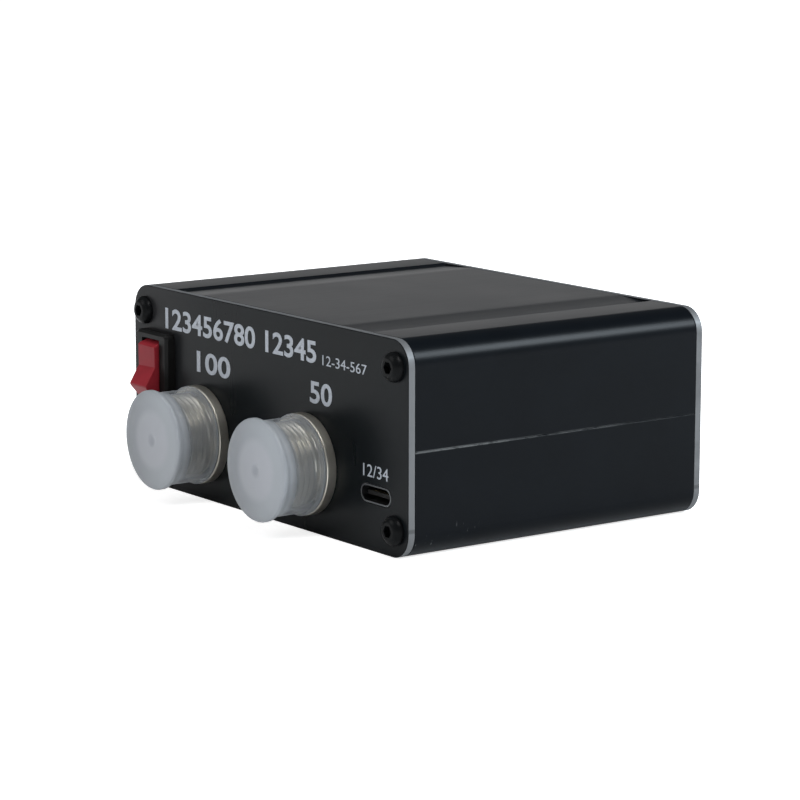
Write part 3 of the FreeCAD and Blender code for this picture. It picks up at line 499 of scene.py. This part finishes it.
FINISHES = {
    "case_black": case_black,
    "panel_black": panel_black,
    "milled_edge": milled_edge,
    "screw_black": metal(
        (0.0055, 0.006, 0.0065), 0.30, 0.2 * MM, tarnish=0.7, metallic=0.0, specular=0.05
    ),
    "nickel": metal(None, 0.34, 0.2 * MM, (0.01, 1.0, 0.01), tarnish=0.85, metallic=0.9, depth=0.0008),
    "contact_plate": metal((0.78, 0.60, 0.30), 0.22),
    "insulator_white": moulded(0.42, mottle=0.97),
    "washer_steel": metal((0.56, 0.56, 0.55), 0.34, tarnish=0.75),
    "cap_milky": cap_milky,
    "switch_black": moulded(0.36, depth=0.006, specular=0.08, tone=0.3),
    "switch_red": moulded(0.40, depth=0.004, mottle=0.93, specular=0.09),
    "spring_steel": metal((0.60, 0.60, 0.60), 0.22),
    "switch_brass": metal((0.76, 0.60, 0.30), 0.28, stretch=(1, 0.2, 1)),
    "port_steel": metal((0.10, 0.105, 0.11), 0.40, 0.2 * MM, tarnish=0.7),
    "port_black": moulded(0.45, specular=0.1, tone=0.4),
    "board_green": board_green,
    "copper": metal((0.80, 0.40, 0.22), 0.26, stretch=(0.2, 1, 1), tarnish=0.65),
    "wire_enamel": metal((0.62, 0.22, 0.08), 0.20, tarnish=0.8, metallic=0.7),
    "ferrite": speckled(1.15, 0.8, 0.2 * MM, 0.6),
    "diode_glass": diode_glass,
    "trimmer_blue": moulded(0.4),
    "chip_black": speckled(1.3, 0.8, 0.12 * MM, 0.55, 0.006),
    "inductor_grey": speckled(1.2, 0.75, 0.25 * MM, 0.6, 0.015),
    "crystal_can": metal((0.66, 0.66, 0.67), 0.24, stretch=(0.2, 1, 1)),
    "capacitor_tan": speckled(1.08, 0.9, 0.15 * MM, 0.5, 0.006),
    "resistor_black": speckled(1.2, 0.8, 0.15 * MM, 0.4, 0.004),
    "cell_foil": cell_foil,
    "foam": foam,
    "lead_red": moulded(0.42),
    "plug_white": moulded(0.45, mottle=0.96),
    "window_clear": window_clear,
    "display_dark": display_dark,
    "ink": ink,
}


def material(slot):
    """The material of a slot, made on first use."""
    made = bpy.data.materials.get("finish_" + slot)
    if made is None:
        made = bpy.data.materials.new("finish_" + slot)
        made.use_nodes = True
        colours = bpy.context.scene.meter_colours
        own = {
            "case_black": colours.case, "panel_black": colours.panel, "nickel": colours.nickel,
            "milled_edge": colours.milled, "cap_milky": colours.cap,
            "switch_red": colours.rocker, "ink": colours.ink,
        }
        rgb = own.get(slot) or RECORD_COLOURS[slot]
        FINISHES[slot](Finish(made.node_tree), tuple(rgb))
    return made


# ---- mesh building -----------------------------------------------------------------------
def piece(name, bm, node, slots=None, sharp=32.0, stands_for=()):
    """Makes an object of a bmesh; it rides with node's body and has node's finish.

    Its normals lean to the larger faces, so that flat faces stay flat beside small rounds."""
    mesh = bpy.data.meshes.new(name)
    bm.to_mesh(mesh)
    bm.free()
    mesh.shade_smooth()
    mesh.set_sharp_from_angle(angle=math.radians(sharp))
    made = bpy.data.objects.new(name, mesh)
    bpy.context.scene.collection.objects.link(made)
    for slot in slots or [NODE_SLOTS[node]]:
        mesh.materials.append(material(slot))
    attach(made, NODE_BODIES[node])
    if stands_for:
        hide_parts(*stands_for)
    even = made.modifiers.new("even_normals", "WEIGHTED_NORMAL")
    even.keep_sharp = True
    even.weight = 75
    return made


def round_edges(bm, width, segments=2, angle=35.0, chosen=None):
    """Rounds the edges that are sharper than angle."""
    limit = math.radians(angle)
    edges = [
        e for e in (chosen or bm.edges) if e.is_manifold and e.calc_face_angle(0.0) > limit
    ]
    bmesh.ops.bevel(
        bm, geom=edges, offset=width, offset_type="OFFSET", segments=segments, profile=0.5,
        affect="EDGES", material=-1, clamp_overlap=True, loop_slide=True,
    )


def node_copy(node):
    """A merged copy of a CAD node's mesh, its flat faces joined."""
    bm = bmesh.new()
    bm.from_mesh(frame["nodes"][node].data)
    for name in list(bm.loops.layers.float_vector.keys()):
        bm.loops.layers.float_vector.remove(bm.loops.layers.float_vector[name])
    bmesh.ops.remove_doubles(bm, verts=bm.verts, dist=0.0005 * MM)
    bmesh.ops.dissolve_limit(
        bm, angle_limit=math.radians(0.5), verts=bm.verts, edges=bm.edges
    )
    for face in bm.faces:
        face.material_index = 0
    return bm


def spun(centre, profile, steps=96, closed=True, angle=math.tau, start=0.0):
    """A shape turned about the line along Y through centre.

    The profile is (radius, distance out of the socket panel) points."""
    bm = bmesh.new()
    verts = [bm.verts.new((centre.x + r, PANEL_Y - out, centre.z)) for r, out in profile]
    pairs = list(zip(verts, verts[1:]))
    if closed:
        pairs.append((verts[-1], verts[0]))
    edges = [bm.edges.new(pair) for pair in pairs]
    geometry = verts + edges
    full = abs(angle - math.tau) < 1e-9
    if not full:
        geometry.append(bm.faces.new(verts))
        turn = Matrix.Rotation(start, 3, "Y")
        bmesh.ops.rotate(bm, cent=centre, matrix=turn, verts=verts)
    bmesh.ops.spin(
        bm, geom=geometry, cent=centre, axis=(0, 1, 0), angle=angle, steps=steps, use_merge=full
    )
    bmesh.ops.remove_doubles(bm, verts=bm.verts, dist=0.0001 * MM)
    if not full:
        bmesh.ops.holes_fill(bm, edges=bm.edges)
    bmesh.ops.recalc_face_normals(bm, faces=bm.faces)
    return bm


def join(bm, other):
    """Adds another bmesh's shape to bm."""
    mesh = bpy.data.meshes.new("joined")
    other.to_mesh(mesh)
    other.free()
    bm.from_mesh(mesh)
    bpy.data.meshes.remove(mesh)


# ---- case and plates ---------------------------------------------------------------------
class METER_OT_case(bpy.types.Operator):
    """Rounds the two half shells of the case and gives them their coating"""

    bl_idname = "meter.case"
    bl_label = "Case shells"

    def execute(self, context):
        width = context.scene.meter_sizes.case_round
        for node, name in (("top_shell", "case_top"), ("bottom_shell", "case_bottom")):
            bm = node_copy(node)
            round_edges(bm, width, segments=2, angle=50.0)
            piece(name, bm, node, stands_for=[node])
        return {"FINISHED"}


def outline_depth(x, z):
    """How far a point of an end plate lies inside its rounded outline."""
    half = (CASE_HIGH - CASE_LOW) / 2
    qx = abs(x - CASE_CENTRE.x) - (half.x - CASE_CORNER)
    qz = abs(z - CASE_CENTRE.z) - (half.z - CASE_CORNER)
    outside = math.hypot(max(qx, 0.0), max(qz, 0.0))
    return CASE_CORNER - outside - min(max(qx, qz), 0.0)


class METER_OT_plates(bpy.types.Operator):
    """Adds the two end plates with bare milled edges"""

    bl_idname = "meter.plates"
    bl_label = "End plates"

    def execute(self, context):
        width = context.scene.meter_sizes.plate_round
        for node, name in (("front_plate", "socket_panel"), ("rear_plate", "display_plate")):
            bm = node_copy(node)
            round_edges(bm, width, segments=2, angle=25.0)
            for face in bm.faces:
                centre = face.calc_center_median()
                edge_on = abs(face.normal.y) < 0.3
                near_rim = outline_depth(centre.x, centre.z) < 0.3 * MM
                face.material_index = 1 if edge_on and near_rim else 0
            piece(name, bm, node, ["panel_black", "milled_edge"], stands_for=[node])
        return {"FINISHED"}


class METER_OT_screws(bpy.types.Operator):
    """Adds the button head screws of both plates"""

    bl_idname = "meter.screws"
    bl_label = "Plate screws"

    def execute(self, context):
        for node, name in (("front_screws", "panel_screws"), ("rear_screws", "back_screws")):
            bm = node_copy(node)
            round_edges(bm, 0.09 * MM, segments=3, angle=40.0)
            piece(name, bm, node, stands_for=[node])
        return {"FINISHED"}


# ---- sockets and caps --------------------------------------------------------------------
def thread_ridge(centre, sizes, start, end):
    """A closed right-hand helical ridge from start to end, both measured out of the panel."""
    pitch, per_turn = sizes.thread_pitch, THREAD_STEPS
    root, crest = sizes.thread_root - 0.06 * MM, sizes.thread_radius
    steps = int((end - start) / pitch * per_turn)
    half_root, half_crest = 0.45 * pitch, 0.07 * pitch
    corners = [
        (root, start - half_root), (crest, start - half_crest),
        (crest, start + half_crest), (root, start + half_root),
    ]
    bm = bmesh.new()
    verts = [bm.verts.new((centre.x + r, PANEL_Y - out, centre.z)) for r, out in corners]
    edges = [bm.edges.new(pair) for pair in zip(verts, verts[1:] + verts[:1])]
    bmesh.ops.spin(
        bm, geom=verts + edges, cent=centre, axis=(0, -1, 0), steps=steps,
        angle=math.tau * steps / per_turn, dvec=(0, -pitch / per_turn, 0),
    )
    for vert in bm.verts:
        flat = Vector((vert.co.x - centre.x, 0, vert.co.z - centre.z))
        if flat.length > root + 0.01 * MM:
            out = PANEL_Y - vert.co.y
            rise = min(1.0, max(0.1, 3 * min(out - start, end - out) / pitch))
            vert.co += flat * ((root + (crest - root) * rise) / flat.length - 1)
    bmesh.ops.holes_fill(bm, edges=bm.edges)
    bmesh.ops.recalc_face_normals(bm, faces=bm.faces)
    return bm


def socket_shape(name, sizes):
    """A threaded socket body: shoulder, thread, notched mouth and panel tail."""
    lo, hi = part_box(name + "_socket_body")
    centre = (lo + hi) / 2
    centre.y = PANEL_Y
    shoulder = (hi.x - lo.x) / 2
    root, bore = sizes.thread_root, SOCKET_BORE
    shoulder_t = PANEL_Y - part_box(name + "_cap")[1].y - 0.1 * MM
    notch = MOUTH_NOTCH
    mouth, tail = PANEL_Y - lo.y, PANEL_Y - hi.y
    neck = tail + 1.0 * MM
    bm = spun(centre, [
        (bore, mouth - notch), (bore, neck), (5.2 * MM, neck), (5.2 * MM, tail),
        (sizes.thread_radius - 0.25 * MM, tail), (sizes.thread_radius - 0.25 * MM, 0.0),
        (shoulder - 0.12 * MM, 0.0), (shoulder, 0.12 * MM), (shoulder, shoulder_t - 0.12 * MM),
        (shoulder - 0.12 * MM, shoulder_t), (root - 0.2 * MM, shoulder_t),
        (root - 0.2 * MM, shoulder_t + 0.55 * MM), (root, shoulder_t + 0.75 * MM),
        (root, mouth - notch),
    ])
    round_edges(bm, 0.07 * MM, segments=2, angle=30.0)
    gap = math.radians(10.0)
    for k in range(4):
        start = math.radians(45 + 90 * k) + gap / 2
        tooth = spun(
            centre,
            [(bore, mouth - notch - 0.05 * MM), (bore, mouth - 0.1 * MM), (bore + 0.1 * MM, mouth),
             (root - 0.1 * MM, mouth), (root, mouth - 0.1 * MM), (root, mouth - notch - 0.05 * MM)],
            steps=20, angle=math.pi / 2 - gap, start=start,
        )
        join(bm, tooth)
    pitch = sizes.thread_pitch
    join(bm, thread_ridge(centre, sizes, shoulder_t + 0.9 * pitch, mouth - 1.05 * pitch))
    return bm


class METER_OT_sockets(bpy.types.Operator):
    """Adds the two threaded socket bodies"""

    bl_idname = "meter.sockets"
    bl_label = "Threaded sockets"

    def execute(self, context):
        for name in SOCKETS:
            node = name + "_socket_body"
            bm = socket_shape(name, context.scene.meter_sizes)
            piece(name + "_threaded_body", bm, node, stands_for=[node])
        return {"FINISHED"}


class METER_OT_caps(bpy.types.Operator):
    """Adds the two push-on dust caps"""

    bl_idname = "meter.caps"
    bl_label = "Dust caps"

    def execute(self, context):
        sizes = context.scene.meter_sizes
        wall, bore = sizes.cap_radius, sizes.cap_bore
        for name in SOCKETS:
            node = name + "_cap"
            lo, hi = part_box(node)
            centre = (lo + hi) / 2
            rim = (hi.x - lo.x) / 2
            end, mouth = PANEL_Y - lo.y, PANEL_Y - hi.y
            rim_back, floor = end - 1.0 * MM, end - 1.5 * MM
            lip = rim - 0.14 * MM
            bm = spun(centre, [
                (0.0, end - 0.38 * MM), (0.45 * MM, end - 0.36 * MM), (0.8 * MM, end - 0.22 * MM),
                (1.15 * MM, end - 0.05 * MM), (1.6 * MM, end - 0.02 * MM),
                (rim - 1.6 * MM, end - 0.02 * MM), (rim - 1.2 * MM, end), (rim - 0.3 * MM, end),
                (rim - 0.1 * MM, end - 0.08 * MM), (rim, end - 0.3 * MM),
                (rim, rim_back + 0.2 * MM), (rim - 0.1 * MM, rim_back + 0.05 * MM),
                (rim - 0.25 * MM, rim_back), (wall + 0.1 * MM, rim_back - 0.02 * MM),
                (wall, rim_back - 0.2 * MM), (wall, mouth + 0.95 * MM),
                (wall + 0.06 * MM, mouth + 0.8 * MM), (lip - 0.06 * MM, mouth + 0.42 * MM),
                (lip, mouth + 0.3 * MM), (lip, mouth + 0.12 * MM), (lip - 0.1 * MM, mouth),
                (bore + 0.15 * MM, mouth), (bore, mouth + 0.4 * MM),
                (bore, floor - 0.4 * MM), (bore - 0.12 * MM, floor - 0.12 * MM),
                (bore - 0.4 * MM, floor), (0.0, floor),
            ], steps=128, closed=False)
            piece(name + "_dust_cap", bm, node, sharp=60.0, stands_for=[node])
        return {"FINISHED"}


# ---- switch and port ---------------------------------------------------------------------
class METER_OT_switch(bpy.types.Operator):
    """Adds the rocker and the switch's bezel"""

    bl_idname = "meter.switch"
    bl_label = "Rocker switch"

    def execute(self, context):
        width = context.scene.meter_sizes.plastic_round
        bm = node_copy("switch_rocker")
        round_edges(bm, width, segments=3, angle=28.0)
        piece("rocker_button", bm, "switch_rocker", sharp=50.0, stands_for=["switch_rocker"])
        bm = node_copy("switch_housing")
        round_edges(bm, 0.12 * MM, segments=2, angle=30.0)
        piece("switch_bezel", bm, "switch_housing", stands_for=["switch_housing"])
        return {"FINISHED"}


class METER_OT_port(bpy.types.Operator):
    """Adds the charging port's drawn shell"""

    bl_idname = "meter.port"
    bl_label = "Charging port"

    def execute(self, context):
        bm = node_copy("port_shell")
        round_edges(bm, 0.07 * MM, segments=3, angle=40.0)
        piece("port_sleeve", bm, "port_shell", stands_for=["port_shell"])
        return {"FINISHED"}


# ---- lettering ---------------------------------------------------------------------------
def printed(name, text, left, right, bottom, top, sizes, weight=0.0, shear=0.0):
    """Thin printed digits that fill a rectangle of the socket panel's face."""
    curve = bpy.data.curves.new(name, "FONT")
    curve.body = text
    curve.offset = weight
    curve.shear = shear
    curve.resolution_u = 5
    curve.extrude = 0.5
    holder = bpy.data.objects.new(name + "_text", curve)
    mesh = bpy.data.meshes.new_from_object(holder)
    bm = bmesh.new()
    bm.from_mesh(mesh)
    bpy.data.objects.remove(holder)
    bpy.data.meshes.remove(mesh)
    bpy.data.curves.remove(curve)
    bmesh.ops.remove_doubles(bm, verts=bm.verts, dist=1e-5)
    xs = [v.co.x for v in bm.verts]
    ys = [v.co.y for v in bm.verts]
    bmesh.ops.translate(bm, vec=(-min(xs), -min(ys), 0), verts=bm.verts)
    wide = (right - left) / (max(xs) - min(xs))
    tall = (top - bottom) / (max(ys) - min(ys))
    bmesh.ops.scale(bm, vec=(wide, tall, sizes.print_thickness), verts=bm.verts)
    bmesh.ops.rotate(bm, cent=(0, 0, 0), matrix=Matrix.Rotation(math.pi / 2, 3, "X"), verts=bm.verts)
    lift = PANEL_Y - 0.4 * sizes.print_thickness
    bmesh.ops.translate(bm, vec=(left, lift, bottom), verts=bm.verts)
    bmesh.ops.recalc_face_normals(bm, faces=bm.faces)
    return piece(name, bm, "front_plate", ["ink"])


class METER_OT_lettering(bpy.types.Operator):
    """Prints plain digits on the socket panel"""

    bl_idname = "meter.lettering"
    bl_label = "Printed digits"

    def execute(self, context):
        sizes = context.scene.meter_sizes
        title, label = sizes.title_height, sizes.label_height
        printed("scale_digits", "123456780 12345", -33.0 * MM, 16.7 * MM,
                30.5 * MM, 30.5 * MM + title, sizes, weight=0.02)
        printed("small_digits", "12-34-567", 18.6 * MM, 31.9 * MM, 30.6 * MM, 32.4 * MM, sizes)
        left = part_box("antenna_socket_body")
        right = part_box("transmitter_socket_body")
        x = (left[0].x + left[1].x) / 2
        printed("antenna_digits", "100", x - 1.6 * MM, x + 9.7 * MM,
                23.8 * MM, 23.8 * MM + label, sizes, weight=0.02)
        x = (right[0].x + right[1].x) / 2
        printed("transmitter_digits", "50", x + 0.9 * MM, x + 7.7 * MM,
                23.4 * MM, 23.4 * MM + label, sizes, weight=0.02)
        lo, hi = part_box("port_shell")
        x = (lo.x + hi.x) / 2
        printed("port_digits", "12/34", x - 3.7 * MM, x + 3.7 * MM, 13.0 * MM, 15.2 * MM, sizes)
        return {"FINISHED"}


# ---- inner parts -------------------------------------------------------------------------
class METER_OT_inner(bpy.types.Operator):
    """Gives every CAD node that still shows its own finish"""

    bl_idname = "meter.inner"
    bl_label = "Inner finishes"

    def execute(self, context):
        for node, shape in frame["nodes"].items():
            for slot in shape.material_slots:
                slot.material = material(NODE_SLOTS[node])
        return {"FINISHED"}


# ---- stage -------------------------------------------------------------------------------
def seen(finish):
    """1 for camera, glossy and transmission rays."""
    rays = [
        finish.node("ShaderNodeLightPath", output=name)
        for name in ("Is Camera Ray", "Is Glossy Ray", "Is Transmission Ray")
    ]
    return (rays[0] + rays[1] + rays[2]).clamped()


def floor_glow(finish):
    """The white sweep's own light; reflections see it dimmer close to the case, as a painted contact
    shadow.
    """
    place = finish.node("ShaderNodeTexCoord", output="Object")
    away = finish.node("ShaderNodeVectorMath", {"operation": "LENGTH"}, {0: place}, "Value")
    level = finish.mix(away.between(0.5, 3.0), shade((1, 1, 1), 0.78), shade((1, 1, 1), 0.98))
    beside = (abs(finish.axis("X")) - CASE_HIGH.x).at_least(0.0)
    beyond = (abs(finish.axis("Y")) - CASE_HIGH.y).at_least(0.0)
    # Painted shadow: reflections see the floor dark within about 30 mm of the case.
    clear = (beside + beyond).between(-1 * MM, 30 * MM)
    direct = finish.node("ShaderNodeLightPath", output="Is Camera Ray")
    return finish.mix((clear + direct).clamped(), shade((1, 1, 1), 0.08), level)


def build_floor():
    bm = bmesh.new()
    bmesh.ops.create_circle(bm, cap_ends=True, segments=64, radius=6.0)
    mesh = bpy.data.meshes.new("floor")
    bm.to_mesh(mesh)
    bm.free()
    floor = bpy.data.objects.new("floor", mesh)
    floor.location.z = MODEL_BOX[0][2] - 0.05 * MM
    bpy.context.scene.collection.objects.link(floor)
    look = bpy.data.materials.new("floor_white")
    look.use_nodes = True
    finish = Finish(look.node_tree)
    paper = finish.node("ShaderNodeBsdfDiffuse", values={"Color": (0.82, 0.82, 0.82, 1.0)})
    glow = finish.node("ShaderNodeEmission", values={"Color": floor_glow(finish), "Strength": 1.0})
    lit = finish.node("ShaderNodeAddShader", values={0: paper, 1: glow})
    finish.end(finish.node("ShaderNodeMixShader", values={0: seen(finish), 1: paper, 2: lit}))
    mesh.materials.append(look)


def build_world():
    """White near the horizon and dim above, like a low white sweep in a dark room."""
    world = bpy.data.worlds.new("room")
    bpy.context.scene.world = world
    world.use_nodes = True
    finish = Finish(world.node_tree)
    height = finish.axis("Z", finish.node("ShaderNodeTexCoord", output="Generated"))
    stops = [
        (0.0, (1, 1, 1, 1)), (0.125, (1, 1, 1, 1)),
        (0.19, (0.105, 0.11, 0.115, 1)), (1.0, (0.13, 0.135, 0.14, 1)),
    ]
    values = {"Fac": height}
    sky = finish.node("ShaderNodeValToRGB", {"stops": stops}, values, "Color")
    values = {"Color": sky, "Strength": 1.0}
    finish.end(finish.node("ShaderNodeBackground", values=values), "ShaderNodeOutputWorld")


def area_light(name, azimuth, elevation, distance, size, radiance, tint=(1, 1, 1)):
    """A square lamp that faces the case; radiance 1 looks white."""
    a, e = math.radians(azimuth), math.radians(elevation)
    way = Vector((math.sin(a) * math.cos(e), -math.cos(a) * math.cos(e), math.sin(e)))
    light = bpy.data.lights.new(name, "AREA")
    light.shape = "SQUARE"
    light.size = size
    light.energy = radiance * math.pi * size * size
    light.color = tint
    lamp = bpy.data.objects.new(name, light)
    lamp.location = CASE_CENTRE + way * distance
    lamp.rotation_euler = way.to_track_quat("Z", "Y").to_euler()
    bpy.context.scene.collection.objects.link(lamp)


def build_camera(azimuth=53.773, elevation=10.223, roll=0.090, distance=0.58399, lens=142.93,
                 right=9.253 * MM, up=0.682 * MM):
    """The camera looks at a point a little beside the middle of the socket panel's depth."""
    a, e = math.radians(azimuth), math.radians(elevation)
    back = Vector((math.sin(a) * math.cos(e), -math.cos(a) * math.cos(e), math.sin(e)))
    side = Vector((math.cos(a), math.sin(a), 0))
    top = back.cross(side)
    middle = Vector((0, PANEL_Y + 19 * MM, 19 * MM))
    turned = Matrix.Rotation(math.radians(roll), 3, back)
    basis = Matrix((side, top, back)).transposed()
    camera = bpy.data.objects.new("camera", bpy.data.cameras.new("camera"))
    place = (turned @ basis).to_4x4()
    place.translation = middle + side * right + top * up + back * distance
    camera.matrix_world = place
    camera.data.lens = lens
    camera.data.sensor_width = 36.0
    camera.data.clip_start = 0.01
    bpy.context.scene.collection.objects.link(camera)
    bpy.context.scene.camera = camera


class METER_OT_stage(bpy.types.Operator):
    """Adds the floor, the room's light, the lamps and the camera"""

    bl_idname = "meter.stage"
    bl_label = "Stage"

    def execute(self, context):
        context.scene.view_settings.view_transform = "Standard"
        build_floor()
        build_world()
        area_light("back_key", 132.5, 31.0, 1.0, 0.32, 38.0, (0.82, 0.92, 1.0))
        area_light("right_high", 90.0, 62.0, 1.0, 0.4, 14.0)
        area_light("front_fill", -25.0, 35.0, 1.2, 0.6, 4.0)
        build_camera()
        return {"FINISHED"}


# ---- panel and running -------------------------------------------------------------------
class METER_PT_pieces(bpy.types.Panel):
    """Lists the meter's sizes, colours and pieces"""

    bl_idname = "METER_PT_pieces"
    bl_label = "Coaxial meter"
    bl_space_type = "VIEW_3D"
    bl_region_type = "UI"
    bl_category = "Meter"

    def draw(self, context):
        for group in (context.scene.meter_sizes, context.scene.meter_colours):
            column = self.layout.column()
            for name in group.bl_rna.properties.keys():
                if name not in ("rna_type", "name"):
                    column.prop(group, name)
        column = self.layout.column()
        for operator in OPERATORS:
            column.operator(operator.bl_idname)


OPERATORS = (
    METER_OT_case, METER_OT_plates, METER_OT_screws, METER_OT_sockets, METER_OT_caps,
    METER_OT_switch, METER_OT_port, METER_OT_lettering, METER_OT_inner, METER_OT_stage,
)
CLASSES = (MeterSizes, MeterColours) + OPERATORS + (METER_PT_pieces,)


def register():
    for cls in CLASSES:
        bpy.utils.register_class(cls)
    bpy.types.Scene.meter_sizes = bpy.props.PointerProperty(type=MeterSizes)
    bpy.types.Scene.meter_colours = bpy.props.PointerProperty(type=MeterColours)


def unregister():
    del bpy.types.Scene.meter_colours
    del bpy.types.Scene.meter_sizes
    for cls in reversed(CLASSES):
        bpy.utils.unregister_class(cls)


def main():
    register()
    for operator in OPERATORS:
        group, name = operator.bl_idname.split(".")
        getattr(getattr(bpy.ops, group), name)()


if __name__ == "__main__":
    main()
